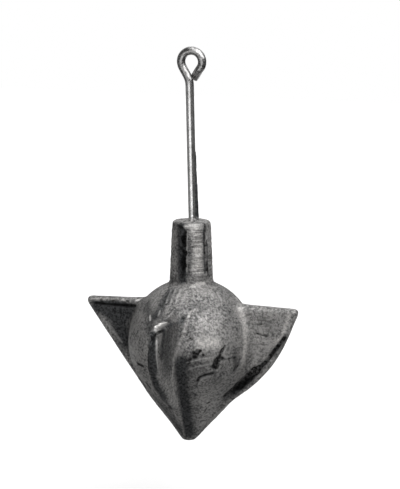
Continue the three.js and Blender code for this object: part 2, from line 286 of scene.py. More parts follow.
# Wire
PATH_STEP = 0.35 * MM
WIRE_SIDES = 24
DIE_MARK_SIZE = 0.35 * MM
DIE_MARK_STRETCH = (1, 1, 0.06)  # long along the stem
NIP_SIZE = 0.9 * MM
NIP_EDGE = (0.56, 0.7)  # noise levels between which a nip begins and is full
NIPPED_FROM = (-6 * MM, -3 * MM)  # heights between which the bender's nips begin
TAIL_LENGTH = 2.8 * MM
TAIL_SET_BACK = 1.15 * MM  # the cut end lies behind the shoulder
ARC_POINTS = 40


def arc_points(centre, radius, start, end):
    angles = np.linspace(start, end, ARC_POINTS)
    return [Vector((centre[0] + radius * math.cos(a), 0, centre[1] + radius * math.sin(a))) for a in angles]


def bezier_points(a, b, c, d):
    points = []
    for t in np.linspace(0, 1, ARC_POINTS):
        s = 1 - t
        points.append(a * s ** 3 + b * 3 * t * s ** 2 + c * 3 * t * t * s + d * t ** 3)
    return points


def wire_path():
    """The wire's centreline: hook in the lead, stem, shoulder, eye and the tail behind the shoulder."""
    shoulder = Vector((STEM_TOP_X, 0, -EYE_SHOULDER_DROP))
    entry = Vector((STEM_NECK_X, 0, NECK_TOP_Z))
    stem = (shoulder - entry).normalized()
    hook_z = NECK_TOP_Z - WIRE_SET_DEPTH + HOOK_RADIUS
    foot = entry + stem * ((hook_z - entry.z) / stem.z)
    hook_x = foot.x + HOOK_RADIUS
    tip = Vector((hook_x + HOOK_RADIUS, 0, hook_z + HOOK_TIP_LENGTH))
    hook = arc_points((hook_x, hook_z), HOOK_RADIUS, 0, -math.pi)
    ring = arc_points((0, 0), EYE_RADIUS, EYE_START, EYE_END)
    arrive = Vector((math.sin(EYE_START), 0, -math.cos(EYE_START)))
    leave = Vector((math.sin(EYE_END), 0, -math.cos(EYE_END)))
    bend = EYE_SHOULDER_BEND
    neck = bezier_points(shoulder, shoulder + stem * bend, ring[0] - arrive * bend, ring[0])
    tail = []
    for share in np.linspace(0, 1, ARC_POINTS)[1:]:
        back = Vector((0, TAIL_SET_BACK * share * share * (3 - 2 * share), 0))
        tail.append(ring[-1] + leave * (TAIL_LENGTH * share) + back)
    return [tip, *hook, *neck, *ring[1:], *tail]


def new_tree(name, inputs):
    """A geometry tree with named number inputs, its input and output nodes, and the inputs' identifiers."""
    tree = bpy.data.node_groups.new(name, "GeometryNodeTree")
    tree.interface.new_socket("Geometry", in_out="INPUT", socket_type="NodeSocketGeometry")
    identifiers = {}
    for label, kind in inputs:
        socket = tree.interface.new_socket(label, in_out="INPUT", socket_type=kind)
        identifiers[label] = socket.identifier
    tree.interface.new_socket("Geometry", in_out="OUTPUT", socket_type="NodeSocketGeometry")
    source = tree.nodes.new("NodeGroupInput")
    result = tree.nodes.new("NodeGroupOutput")
    return tree, source, result, identifiers


class Wiring:
    """Short ways to add and link the nodes of a tree."""

    def __init__(self, tree):
        self.tree = tree

    def node(self, kind, inputs=None, **settings):
        made = self.tree.nodes.new(kind)
        for name, value in settings.items():
            setattr(made, name, value)
        for key, value in (inputs or {}).items():
            self.feed(made.inputs[key], value)
        return made

    def feed(self, socket, value):
        if isinstance(value, bpy.types.NodeSocket):
            self.tree.links.new(value, socket)
        else:
            socket.default_value = value

    def math(self, operation, *values, clamp=False):
        made = self.tree.nodes.new("ShaderNodeMath")
        made.operation = operation
        made.use_clamp = clamp
        for socket, value in zip(made.inputs, values):
            self.feed(socket, value)
        return made.outputs[0]

    def noise(self, vector, size, detail=2.0, roughness=0.5, seed=0.0):
        """Noise from 0 to 1 whose blotches are about the given size."""
        made = self.node("ShaderNodeTexNoise", {"Vector": vector}, noise_dimensions="4D")
        if isinstance(size, bpy.types.NodeSocket):
            size = self.math("DIVIDE", 1.0, size)
        else:
            size = 1.0 / size
        for key, value in (("Scale", size), ("Detail", detail), ("Roughness", roughness), ("W", seed)):
            self.feed(made.inputs[key], value)
        return made.outputs[0]

    def stretch(self, vector, scale):
        return self.node("ShaderNodeVectorMath", {0: vector, 1: scale}, operation="MULTIPLY").outputs[0]

    def ramp(self, value, low, high, to_low=0.0, to_high=1.0):
        made = self.node("ShaderNodeMapRange", {"Value": value}, interpolation_type="SMOOTHSTEP")
        for key, number in (("From Min", low), ("From Max", high), ("To Min", to_low), ("To Max", to_high)):
            self.feed(made.inputs[key], number)
        return made.outputs["Result"]


class Relief(Wiring):
    """The nodes of a geometry tree that raises a surface."""

    def centred(self, noise, height):
        """Noise about zero, scaled to a height."""
        return self.math("MULTIPLY", self.math("SUBTRACT", noise, 0.5), height)

    def dressed(self, surface, height, material):
        """The surface raised along its normals, smooth, real and with its material."""
        offset = self.node("ShaderNodeVectorMath", operation="SCALE")
        self.feed(offset.inputs[0], self.node("GeometryNodeInputNormal").outputs[0])
        self.feed(offset.inputs["Scale"], height)
        raised = self.node("GeometryNodeSetPosition", {"Geometry": surface, "Offset": offset.outputs[0]})
        smooth = self.node("GeometryNodeSetShadeSmooth", {"Geometry": raised.outputs[0]})
        real = self.node("GeometryNodeRealizeInstances", {"Geometry": smooth.outputs[0]})
        finished = self.node("GeometryNodeSetMaterial", {"Geometry": real.outputs[0], "Material": material})
        return finished.outputs[0]


def bake(piece):
    """Keeps what the piece's modifiers make as its plain mesh."""
    bpy.context.view_layer.update()
    evaluated = piece.evaluated_get(bpy.context.evaluated_depsgraph_get())
    mesh = bpy.data.meshes.new_from_object(evaluated)
    piece.modifiers.clear()
    piece.data = mesh


def realised(piece, tree, identifiers, values):
    """Runs the tree on the piece with these inputs, and keeps the result as the piece's plain mesh."""
    modifier = piece.modifiers.new(tree.name, "NODES")
    modifier.node_group = tree
    for label, value in values.items():
        modifier[identifiers[label]] = value
    bake(piece)
    return piece


def wire_tree(material):
    """Sweeps a round section along a path, with die marks and the bender's nips."""
    tree, source, result, identifiers = new_tree("bent_wire", [
        ("Radius", "NodeSocketFloat"),
        ("Sides", "NodeSocketInt"),
        ("Step", "NodeSocketFloat"),
        ("Die mark height", "NodeSocketFloat"),
        ("Bend nip height", "NodeSocketFloat"),
        ("Seed", "NodeSocketFloat"),
    ])
    w = Relief(tree)
    size = source.outputs
    path = w.node("GeometryNodeMeshToCurve", {"Mesh": size["Geometry"]}).outputs[0]
    spaced = w.node("GeometryNodeResampleCurve", {"Curve": path}, mode="LENGTH")
    w.feed(spaced.inputs["Length"], size["Step"])
    section = w.node("GeometryNodeCurvePrimitiveCircle", {"Resolution": size["Sides"]})
    w.feed(section.inputs["Radius"], size["Radius"])
    swept = w.node("GeometryNodeCurveToMesh", {
        "Curve": spaced.outputs[0],
        "Profile Curve": section.outputs[0],
        "Fill Caps": True,
    })
    place = w.node("GeometryNodeInputPosition").outputs[0]
    die = w.noise(w.stretch(place, DIE_MARK_STRETCH), DIE_MARK_SIZE, 2, 0.6, size["Seed"])
    nips = w.noise(place, NIP_SIZE, 2, 0.5, size["Seed"])
    high = w.node("ShaderNodeSeparateXYZ", {"Vector": place}).outputs["Z"]
    at_eye = w.ramp(high, *NIPPED_FROM)
    nip_depth = w.math("MULTIPLY", w.ramp(nips, *NIP_EDGE), size["Bend nip height"])
    nip_depth = w.math("MULTIPLY", nip_depth, at_eye)
    height = w.math("SUBTRACT", w.centred(die, size["Die mark height"]), nip_depth)
    tree.links.new(w.dressed(swept.outputs[0], height, material), result.inputs[0])
    return tree, identifiers


def make_wire(material):
    points = wire_path()
    steps = [(i, i + 1) for i in range(len(points) - 1)]
    wire = add_object("steel_wire", plain_mesh("wire_path", points, [], steps))
    tree, identifiers = wire_tree(material)
    return realised(wire, tree, identifiers, {
        "Radius": WIRE_RADIUS,
        "Sides": WIRE_SIDES,
        "Step": PATH_STEP,
        "Die mark height": 0.02 * MM,
        "Bend nip height": 0.09 * MM,
        "Seed": 3.0,
    })


# Lead casting
MERGE_DISTANCE = 0.001 * MM
CHANNEL_REACH = 0.5 * MM
SUBDIVISIONS = 2
SKIN_SPACING = 0.247 * MM
EASE_SHARE = 0.5
EASE_ROUNDS = 4
EDGE_SPREAD = 14  # smoothing rounds that tell an arris from the faces beside it
EDGE_EASE = 2  # smoothing rounds of the arris itself
EDGE_HEIGHT = 0.09 * MM  # a sharp arris stands this far out of its smoothed surface
LIP_HEIGHT = 0.5 * MM  # lead drawn up the wire's foot
LIP_WIDTH = 0.45 * MM
RING_STRETCH = (0.12, 0.12, 1)  # the turned mould's rings run round the wire
NECK_START = 0.93 * BALL_RADIUS  # the neck's turning begins this far above the ball's centre
NOSE_START = 0.3 * BALL_RADIUS  # and the nose's this far below it
NOSE_FADE = 0.4 * BALL_RADIUS
NOSE_TURNING = 0.45  # how clearly the nose shows the turning, against the neck
FAR_SIDE_FADE = 0.5  # how softly marks end where the surface turns away
FLASH_HEIGHT = 15 * MM  # thin flash that ran up the wire in the mould's joint
FLASH_STAND = (0.15 * MM, 0.55 * MM)  # out of the wire's side, at its top and at the neck
FLASH_THICKNESS = (0.5 * MM, 0.9 * MM)
FLASH_LEVELS = 30
FLASH_SIDES = 12


def merged_copy(node):
    """A node's surface with its loose triangles joined."""
    surface = bmesh.new()
    surface.from_mesh(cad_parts[node].data)
    bmesh.ops.remove_doubles(surface, verts=surface.verts, dist=MERGE_DISTANCE)
    return surface


def closed_casting():
    """The lead's outer surface, with the wire's channel taken out and its mouth closed over."""
    wire = merged_copy("eye_wire")
    near_wire = BVHTree.FromBMesh(wire)
    casting = merged_copy("lead_body")
    walls = {v for v in casting.verts if near_wire.find_nearest(v.co)[3] < CHANNEL_REACH}
    channel = [f for f in casting.faces if all(v in walls for v in f.verts)]
    bmesh.ops.delete(casting, geom=channel, context="FACES")
    bmesh.ops.holes_fill(casting, edges=[e for e in casting.edges if e.is_boundary])
    flat_enough = math.radians(40)
    bmesh.ops.join_triangles(
        casting,
        faces=casting.faces,
        angle_face_threshold=flat_enough,
        angle_shape_threshold=flat_enough,
    )
    mesh = bpy.data.meshes.new("lead_casting")
    casting.to_mesh(mesh)
    casting.free()
    wire.free()
    return mesh


def even_skin(piece):
    """Rounds the facets off and covers the piece with an even net of small faces."""
    rounded = piece.modifiers.new("rounded", "SUBSURF")
    rounded.levels = SUBDIVISIONS
    rounded.render_levels = SUBDIVISIONS
    net = piece.modifiers.new("net", "REMESH")
    net.mode = "VOXEL"
    net.voxel_size = SKIN_SPACING
    eased = piece.modifiers.new("eased", "SMOOTH")
    eased.factor = EASE_SHARE
    eased.iterations = EASE_ROUNDS
    bake(piece)


def stem_at(z):
    """Where the middle of the leaning stem is at a height."""
    share = (z - NECK_TOP_Z) / (-EYE_SHOULDER_DROP - NECK_TOP_Z)
    return STEM_NECK_X + (STEM_TOP_X - STEM_NECK_X) * share


def add_flash(piece):
    """Joins on the tongue of flash beside the wire's foot."""
    casting = bmesh.new()
    casting.from_mesh(piece.data)
    rings = []
    for share in np.linspace(0, 1, FLASH_LEVELS):
        z = NECK_TOP_Z + FLASH_HEIGHT * (1 - share) - MM * share
        inner = stem_at(z)
        outer = inner + WIRE_RADIUS + np.interp(share, (0, 1), FLASH_STAND)
        thick = np.interp(share, (0, 1), FLASH_THICKNESS)
        ring = []
        for turn in np.linspace(0, 2 * math.pi, FLASH_SIDES, endpoint=False):
            x = (inner + outer) / 2 + (outer - inner) / 2 * math.cos(turn)
            ring.append(casting.verts.new((x, thick / 2 * math.sin(turn), z)))
        rings.append(ring)
    for upper, lower in zip(rings, rings[1:]):
        for i in range(FLASH_SIDES):
            after = (i + 1) % FLASH_SIDES
            casting.faces.new((upper[i], lower[i], lower[after], upper[after]))
    casting.faces.new(rings[0])
    casting.faces.new(rings[-1][::-1])
    casting.to_mesh(piece.data)
    casting.free()


class CastSkin:
    """Points of the casting's surface, and the lifts, stains, painted shade and painted highlights that are
    gathered on them.
    """

    def __init__(self, piece):
        self.mesh = piece.data
        count = len(self.mesh.vertices)
        self.place = np.empty((count, 3), np.float32)
        self.normal = np.empty((count, 3), np.float32)
        self.mesh.vertices.foreach_get("co", self.place.ravel())
        self.mesh.vertex_normals.foreach_get("vector", self.normal.ravel())
        self.edges = np.empty((len(self.mesh.edges), 2), np.int32)
        self.mesh.edges.foreach_get("vertices", self.edges.ravel())
        self.degree = np.bincount(self.edges.ravel(), minlength=count)[:, None]
        self.facing = self.normal @ np.array(VIEW_BACK)
        self.tree = BVHTree.FromObject(piece, bpy.context.evaluated_depsgraph_get())
        self.lift = np.zeros(count)
        self.stains = {}

    def eased(self, values, rounds):
        """Values averaged with their neighbours' again and again."""
        for _ in range(rounds):
            total = np.zeros_like(values)
            np.add.at(total, self.edges[:, 0], values[self.edges[:, 1]])
            np.add.at(total, self.edges[:, 1], values[self.edges[:, 0]])
            values = (values + total / self.degree) / 2
        return values

    def seen_at(self, pixel):
        """The surface point that the photograph shows at a pixel."""
        place = self.tree.ray_cast(CAMERA_PLACE, sight_line(pixel))[0]
        if place is None:
            raise ValueError(f"nothing is seen at pixel {pixel}")
        return np.array(place)

    def line(self, points, width):
        """1 along a line through these points, falling to 0 at half its width away."""
        nearest = np.full(len(self.place), np.inf)
        for a, b in zip(points, points[1:] or points):
            along = b - a
            length = max(along @ along, 1e-12)
            share = np.clip((self.place - a) @ along / length, 0, 1)
            gap = self.place - a - share[:, None] * along
            nearest = np.minimum(nearest, np.linalg.norm(gap, axis=1))
        fall = np.clip(1 - nearest / (width / 2), 0, 1)
        return fall * fall * (3 - 2 * fall)

    def stroke(self, pixels, width):
        """A line through what the photograph shows at these pixels, which fades on the far side."""
        shown = np.clip(self.facing / FAR_SIDE_FADE + 1, 0, 1)
        return self.line([self.seen_at(p) for p in pixels], width) * shown

    def stain(self, name, amount):
        """Adds to one of the layers that the material reads, painted shade and painted highlights among them.
        """
        self.stains[name] = np.clip(self.stains.get(name, 0) + amount, 0, 1)

    def keep(self):
        """Writes the lifts and stains into the mesh."""
        moved = self.place + self.normal * self.lift[:, None]
        self.mesh.vertices.foreach_set("co", moved.astype(np.float32).ravel())
        for name, amount in self.stains.items():
            layer = self.mesh.attributes.new(name, "FLOAT", "POINT")
            layer.data.foreach_set("value", amount.astype(np.float32))
        self.mesh.update()


# Marks on the casting by name. Each stroke is a line of the photograph's pixels with its width and lift in
# millimetres, and how much it blackens and brightens the metal. Some of the blackening is painted shade and
# some of the brightening is painted highlights, as their names say.
MARKS = {
    # A raised burr, with a painted highlight on it.
    "burr on the front fin's top corner, with a painted highlight": [
        (((155.2, 328.4), (159.6, 326.6)), 0.95, 0.55, 0, 1.4),
        (((160.0, 326.4), (165.0, 323.8)), 1.35, 0.75, 0, 1.4),
        (((165.0, 324.6), (169.0, 323.2)), 0.7, 0.15, 0, 0.25),
    ],
    # Painted highlight along the front fin's arris.
    "painted highlight along the front fin's arris": [
        (((157.0, 341.0), (156.8, 356.0), (157.8, 368.0)), 0.8, 0, 0, 0.5),
        (((157.2, 341.0), (156.8, 349.0)), 0.8, 0, 0, 0.3),
    ],
    "the fin's rounded top corner": [
        (((151.6, 334.0), (150.2, 339.0)), 3.6, -0.8, 0, 0),
        (((149.6, 340.0), (149.2, 349.0)), 2.8, -0.35, 0, 0),
    ],
    # Painted shadow under the burr, over a shallow notch.
    "notch under the burr, with its painted shadow": [
        (((154.6, 335.0), (158.6, 332.6), (163.0, 330.6)), 1.4, -0.2, 1.3, 0),
    ],
    "black blowholes": [
        (((219.4, 358.6), (216.6, 362.4)), 2.4, -0.45, 1.4, 0),
        (((213.8, 366.8), (216.4, 367.8)), 1.7, -0.35, 1.4, 0),
        (((225.2, 346.4), (222.4, 350.6)), 0.9, -0.2, 1.3, 0),
        (((222.6, 350.2), (220.8, 353.4)), 1.3, -0.2, 1.3, 0),
        (((221.4, 358.8), (223.8, 358.2)), 0.9, -0.15, 1.1, 0),
        (((217.0, 364.6), (218.6, 365.8)), 0.9, -0.15, 1.1, 0),
        (((234.8, 357.0), (235.6, 369.0)), 1.9, -0.1, 0.55, 0),
        (((238.4, 365.4), (236.0, 367.4), (233.8, 370.4)), 1.0, -0.08, 1.1, 0),
        (((229.0, 358.0), (230.0, 362.0)), 1.0, -0.08, 0.6, 0),
    ],
    "fold where the metal ran together": [
        (((197.6, 380.8), (199.2, 377.8), (205.0, 375.2), (213.3, 373.6)), 1.0, -0.2, 1.2, 0),
        (((198.6, 384.4), (201.0, 380.0), (207.0, 377.6), (213.0, 376.2)), 0.6, 0.05, 0, 0.3),
    ],
    "nicks on the nose": [
        (((207.4, 403.4), (209.8, 402.2)), 0.8, -0.06, 1.0, 0),
        (((204.2, 412.4), (206.8, 408.0)), 0.6, -0.05, 0.8, 0),
    ],
    "black smears of the mould's dressing": [
        (((193.6, 352.4), (196.4, 354.6)), 1.3, 0, 1.2, 0),
        (((197.2, 350.4), (200.6, 350.8)), 1.1, 0, 1.2, 0),
        (((198.8, 352.2), (197.2, 354.8)), 1.0, 0, 1.1, 0),
        (((193.8, 356.4), (195.6, 357.4)), 1.2, 0, 1.3, 0),
        (((202.6, 354.8), (203.8, 355.2)), 0.9, 0, 1.1, 0),
        (((189.2, 360.4), (190.6, 358.8)), 0.9, 0, 1.0, 0),
        (((188.2, 363.6), (190.0, 362.6)), 0.9, 0, 0.9, 0),
        (((190.2, 338.5), (191.6, 339.5)), 1.2, -0.08, 0.8, 0),
    ],
    "drag lines across the ball": [
        (((186.0, 360.6), (197.0, 357.6), (211.0, 355.6)), 0.5, -0.05, 0.55, 0),
        (((187.0, 363.0), (198.0, 359.8), (211.0, 357.8)), 0.5, 0.04, 0, 0.4),
        (((188.0, 366.5), (199.0, 363.6), (210.0, 362.0)), 0.5, -0.05, 0.55, 0),
        (((189.0, 369.2), (199.0, 366.2), (209.0, 364.4)), 0.5, 0.04, 0, 0.35),
        (((192.0, 372.6), (206.0, 369.6)), 0.5, -0.05, 0.5, 0),
        (((190.0, 388.6), (202.0, 386.0), (214.0, 384.6)), 0.5, -0.04, 0.4, 0),
        (((191.0, 391.4), (203.0, 388.8), (213.0, 387.4)), 0.5, 0.03, 0, 0.25),
        (((191.0, 394.6), (200.0, 392.6), (211.0, 391.4)), 0.5, -0.04, 0.4, 0),
        (((223.0, 357.6), (231.0, 355.4), (240.0, 354.4)), 0.5, 0.03, 0, 0.3),
        (((223.0, 360.4), (231.0, 358.2), (240.0, 357.0)), 0.5, -0.04, 0.4, 0),
    ],
    # Painted shade inside the right fin's lower edge, over a shallow hollow.
    "hollow inside the right fin's lower edge, blackened as painted shade": [
        (((284.6, 338.0), (278.6, 345.5), (270.5, 356.0)), 1.6, -0.08, 1.3, 0),
        (((268.4, 359.5), (262.0, 365.5), (256.0, 370.5)), 1.7, -0.1, 1.1, 0),
        (((256.0, 370.5), (247.0, 378.5), (239.0, 385.0)), 3.4, -0.1, 1.4, 0),
        (((239.0, 385.0), (226.0, 394.6)), 3.2, -0.06, 1.2, 0),
    ],
    "nicks on the right fin": [
        (((258.2, 320.5), (266.0, 321.0), (272.0, 323.5)), 0.7, -0.08, 0.6, 0),
        (((256.6, 333.4), (260.2, 334.6)), 0.8, -0.12, 0.9, 0),
        (((262.0, 335.2), (264.6, 336.0)), 0.7, -0.12, 0.9, 0),
        (((257.6, 325.0), (262.0, 324.0)), 0.7, -0.08, 0.9, 0),
        (((263.0, 317.6), (268.0, 318.4)), 0.6, -0.06, 0.6, 0),
        (((270.0, 360.2), (271.8, 361.0)), 0.6, 0.1, 0, 1),
        (((263.4, 340.4), (265.2, 341.2)), 0.6, 0.08, 0, 0.8),
        (((257.2, 339.6), (258.8, 340.4)), 0.6, 0.08, 0, 0.7),
        (((265.0, 335.2), (266.8, 336.2)), 0.8, -0.1, 1.1, 0),
    ],
    # Painted shade under the left fin's rounded top.
    "painted shade under the left fin's top": [
        (((95.5, 302.6), (103.0, 303.4)), 1.0, -0.06, 1.2, 0),
        (((104.6, 303.8), (112.0, 304.4)), 0.9, -0.06, 0.9, 0),
        (((113.4, 304.4), (124.0, 305.2)), 1.1, -0.06, 1.2, 0),
        (((125.6, 305.2), (135.0, 305.8)), 1.3, -0.06, 1.3, 0),
    ],
    "specks on the left fin's top": [
        (((100.6, 299.6), (101.8, 300.0)), 0.6, -0.05, 1.1, 0),
        (((112.4, 300.4), (114.4, 300.6)), 0.6, -0.05, 1.1, 0),
        (((119.0, 298.8), (120.2, 299.0)), 0.5, -0.05, 1.0, 0),
        (((126.4, 300.8), (129.0, 301.2)), 0.6, -0.05, 1.1, 0),
    ],
    "rim of the left fin's outer edge": [
        (((103.0, 319.0), (112.0, 330.0), (122.0, 342.0)), 0.8, 0.03, 0, 0.3),
    ],
    "flash where the side fins' tops meet the ball": [
        (((135.8, 301.0), (139.6, 299.4)), 0.6, 0.2, 0, 1),
        (((235.6, 298.2), (238.4, 301.4)), 0.6, 0.2, 0, 0.8),
    ],
    "specks of lead on the ball": [
        (((150.0, 316.0), (150.4, 320.5)), 0.7, 0.14, 0, 0.9),
        (((160.0, 311.0), (158.4, 316.0)), 0.6, 0.1, 0, 0.55),
    ],
    "file marks on the ball's shoulder": [
        (((164.0, 303.0), (169.0, 292.0)), 0.6, -0.03, 0.6, 0),
        (((166.4, 303.0), (171.6, 289.6)), 0.6, 0.03, 0, 0.4),
        (((168.6, 304.0), (173.8, 289.6)), 0.6, -0.03, 0.6, 0),
        (((170.8, 303.0), (176.0, 288.8)), 0.6, 0.03, 0, 0.45),
        (((173.0, 303.0), (178.2, 290.0)), 0.6, -0.03, 0.65, 0),
        (((176.0, 302.0), (181.0, 289.6)), 0.6, 0.03, 0, 0.45),
        (((179.0, 303.0), (184.0, 291.0)), 0.6, -0.03, 0.55, 0),
        (((182.4, 302.0), (186.6, 291.0)), 0.6, 0.03, 0, 0.3),
        (((209.0, 289.6), (213.6, 297.6)), 0.6, 0.03, 0, 0.3),
        (((213.0, 290.0), (218.4, 298.4)), 0.6, -0.03, 0.55, 0),
        (((217.0, 292.4), (221.6, 301.6)), 0.6, 0.03, 0, 0.3),
    ],
    "gouges low on the ball's left": [
        (((137.4, 363.6), (143.0, 366.2)), 1.0, -0.12, 1.4, 0),
        (((146.0, 382.6), (149.8, 387.4)), 1.0, -0.1, 1.4, 0),
    ],
    "edge of the left fin's root fillet": [
        (((135.4, 312.0), (133.8, 322.0), (133.2, 333.0)), 0.6, 0, 0.45, 0),
    ],
    # Painted dark reflections either side of the neck's bright strip, and two painted glints.
    "painted dark reflections and glints on the neck": [
        (((178.6, 225.4), (183.0, 228.2)), 1.2, -0.03, 0.8, 0),
        (((185.6, 232.6), (184.6, 239.0)), 1.5, -0.03, 1.0, 0),
        (((183.0, 238.0), (184.8, 245.0)), 1.9, -0.03, 1.1, 0),
        (((181.4, 248.0), (183.6, 251.0)), 1.3, -0.03, 0.9, 0),
        (((185.4, 252.6), (183.8, 259.0), (184.8, 266.0)), 1.9, -0.04, 1.2, 0),
        (((182.0, 261.0), (182.6, 269.0)), 1.2, -0.03, 0.9, 0),
        (((184.0, 271.0), (182.4, 277.0)), 1.4, -0.02, 0.7, 0),
        (((204.6, 224.5), (205.2, 231.0)), 1.2, -0.03, 0.9, 0),
        (((204.0, 234.0), (204.4, 240.0)), 1.0, -0.03, 0.8, 0),
        (((206.6, 241.0), (206.2, 246.0)), 0.8, -0.03, 0.8, 0),
        (((204.4, 243.0), (204.8, 252.0)), 1.2, -0.03, 0.8, 0),
        (((205.0, 254.0), (207.0, 262.0), (206.6, 270.0)), 1.2, -0.03, 0.8, 0),
        (((207.6, 268.0), (208.2, 275.0)), 1.0, -0.03, 0.8, 0),
        (((206.6, 236.0), (206.8, 238.6)), 0.6, 0.05, 0, 0.8),
        (((206.4, 257.6), (206.6, 260.6)), 0.6, 0.05, 0, 0.9),
    ],
    "smears beside the neck's top": [
        (((185.2, 226.6), (190.6, 227.2)), 1.3, 0.05, 0, 0.7),
        (((194.0, 229.0), (197.4, 229.4)), 1.2, 0.04, 0, 0.55),
    ],
    "mould seam down the neck": [
        (((187.4, 231.0), (187.0, 250.0), (186.8, 272.0)), 0.5, 0.05, 0, 0.4),
        (((205.2, 240.0), (205.4, 262.0)), 0.5, 0.05, 0, 0.3),
    ],
}


# Broad places by name, darkened as painted shade or brightened as painted highlights. Each stroke is a line
# of pixels with its width in millimetres and its depth.
# Painted shade, laid on by place.
PAINTED_SHADE = {
    "left fin's face": [
        (((98.0, 305.5), (115.0, 308.0), (129.0, 310.0)), 7, 1.2),
        (((114.0, 309.0), (120.0, 324.0), (125.0, 340.0)), 8, 1.2),
    ],
    "front fin's face and outer edge": [
        (((164.0, 331.0), (162.4, 344.0), (161.6, 357.0)), 2.8, 0.7),
        (((168.0, 323.6), (184.0, 320.0)), 3, 0.6),
        (((182.0, 322.0), (181.0, 334.0), (177.0, 346.0)), 5, 0.5),
        (((169.0, 328.0), (167.0, 345.0), (166.5, 362.0)), 10, 0.8),
        (((152.0, 332.8), (151.0, 335.0)), 2.6, 1.2),
        (((151.0, 335.0), (151.0, 350.0), (151.6, 366.0)), 4.4, 1.4),
        (((151.6, 366.0), (155.0, 382.0), (162.6, 396.0), (171.0, 407.0)), 3.0, 1.3),
    ],
    "beside the front fin's root and down the nose": [
        (((180.4, 362.0), (179.6, 372.0), (182.0, 392.0), (185.4, 412.0), (188.4, 434.0)), 4.6, 0.85),
        (((187.0, 360.0), (186.0, 375.0), (188.0, 395.0), (190.0, 415.0), (192.0, 434.0)), 8, 0.4),
        (((150.0, 392.0), (164.0, 408.0), (178.0, 428.0)), 8, 0.8),
    ],
    "right fin's top and the middle of its face": [
        (((244.0, 306.6), (265.0, 308.4), (286.0, 310.6)), 1.7, 0.45),
        (((262.0, 322.0), (272.0, 330.0)), 5, 0.2),
    ],
    "rim below the right fin's hollow": [
        (((287.0, 337.0), (277.0, 354.0), (263.0, 368.0), (248.0, 381.0), (234.0, 393.0)), 2.6, 0.5),
        (((250.0, 379.0), (236.0, 391.0), (226.0, 398.0)), 3.6, 0.7),
    ],
    "shoulders of the ball": [
        (((184.0, 309.0), (193.0, 307.0)), 7, 0.5),
        (((200.0, 306.5), (209.0, 305.0)), 6, 0.3),
        (((189.0, 320.0), (190.0, 332.0)), 3.5, 0.35),
        (((225.0, 297.0), (229.0, 310.0), (229.0, 322.0)), 5, 0.3),
        (((147.0, 306.0), (151.0, 316.0), (150.0, 329.0)), 4.5, 0.7),
        (((170.0, 292.0), (163.0, 303.0), (158.0, 316.0)), 4.4, 0.9),
    ],
    "beside the blowholes": [
        (((235.0, 353.0), (236.4, 361.0), (235.0, 369.0)), 3.6, 0.5),
    ],
    "low on the ball": [
        (((194.0, 366.0), (210.0, 376.0), (222.0, 384.0)), 10, 0.35),
    ],
    "neck's top, and either side of its bright strip": [
        (((173.4, 225.0), (184.0, 223.5)), 3.2, 0.75),
        (((196.0, 223.5), (208.0, 225.0)), 3, 0.35),
        (((181.8, 231.0), (182.0, 255.0), (182.4, 278.0)), 4.2, 1.5),
        (((190.0, 236.0), (190.0, 258.0), (190.0, 276.0)), 1.4, 0.5),
        (((203.8, 230.0), (204.2, 250.0), (205.0, 272.0)), 1.1, 1.2),
        (((207.2, 244.0), (207.4, 256.0), (207.4, 270.0)), 0.9, 0.9),
    ],
}
# Painted highlights and reflections, brightened by place.
PAINTED_HIGHLIGHTS = {
    "neck's strip": [
        (((196.0, 229.0), (198.0, 246.0), (198.4, 270.0)), 3.6, 0.9),
    ],
    "neck's root": [
        (((192.4, 285.8), (198.0, 284.2), (204.0, 284.0)), 1.4, 0.9),
    ],
    "ball's brightest place": [
        (((201.0, 343.5), (215.0, 343.5)), 4.4, 0.95),
        (((208.0, 325.0), (214.0, 334.0)), 6.5, 0.3),
    ],
    "front fin's root": [
        (((196.4, 309.4), (190.4, 312.6), (187.2, 319.0), (184.8, 331.0)), 1.3, 0.45),
        (((184.0, 334.0), (179.0, 345.0), (173.6, 360.0), (172.2, 375.0), (173.6, 393.0)), 1.6, 0.42),
        (((173.6, 393.0), (177.6, 406.6), (180.8, 420.0), (184.0, 435.0)), 0.9, 0.4),
    ],
    "front fin's lower end": [
        (((166.4, 384.0), (169.6, 396.0), (174.0, 406.0)), 3, 0.16),
    ],
    "right of the nose": [
        (((206.0, 392.0), (207.0, 408.0), (203.0, 424.0)), 5, 0.1),
        (((226.0, 380.0), (214.0, 391.0), (205.0, 402.0), (200.0, 414.0)), 3, 0.13),
    ],
    "outer side of the front fin": [
        (((147.0, 342.0), (146.6, 356.0), (148.4, 372.0)), 1.0, 0.35),
    ],
    "left fin's root fillet": [
        (((133.0, 313.0), (131.4, 322.0), (130.6, 333.0)), 0.9, 0.3),
    ],
    "left fin's top": [
        (((95.0, 298.6), (108.0, 298.8), (124.0, 299.4)), 1.4, 0.4),
    ],
    "right fin's root and rim": [
        (((240.6, 310.0), (244.8, 328.0), (245.2, 345.0), (243.0, 362.0)), 3.2, 0.75),
        (((244.0, 322.0), (245.0, 333.0), (244.6, 348.0), (243.0, 361.0)), 1.5, 0.45),
        (((289.0, 314.0), (286.6, 324.0), (281.0, 336.0), (276.0, 343.0)), 1.6, 0.8),
        (((262.0, 315.0), (262.0, 340.0), (256.0, 356.0)), 14, 0.16),
    ],
}


